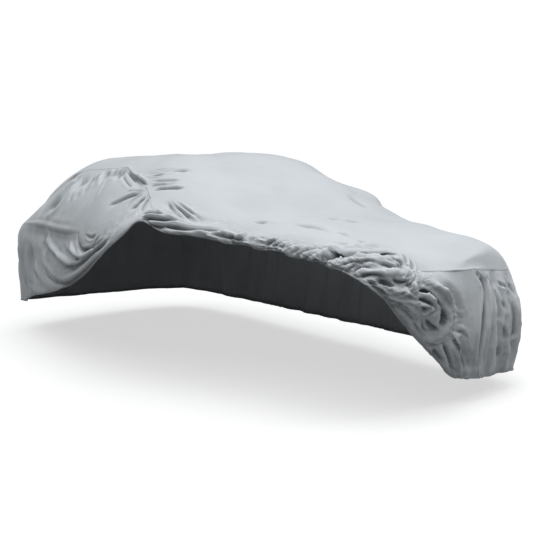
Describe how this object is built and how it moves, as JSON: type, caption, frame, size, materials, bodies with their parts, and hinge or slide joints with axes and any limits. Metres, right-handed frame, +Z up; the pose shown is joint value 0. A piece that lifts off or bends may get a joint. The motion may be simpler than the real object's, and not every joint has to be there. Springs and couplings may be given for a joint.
{
  "type": "car cover",
  "caption": "Fitted fabric cover for a large saloon car, with its near front corner pulled up and bunched along the front.",
  "frame": {"origin": "the underside of the cloth's roof, above the middle of the car, where the cover rests on what it protects", "axes": "+Z up, -Y towards the front of the cover, -X towards the side whose front corner is pulled up"},
  "size_m": [2.1206, 5.223, 1.4264],
  "materials": {
    "cloth": "matt coated weave",
    "thread": "matt sewing thread"
  },
  "bodies": {
    "root": {"top_panel": "cloth", "near_side_panel": "cloth", "far_side_panel": "cloth", "front_panel": "cloth", "rear_panel": "cloth"}
  },
  "joints": []
}
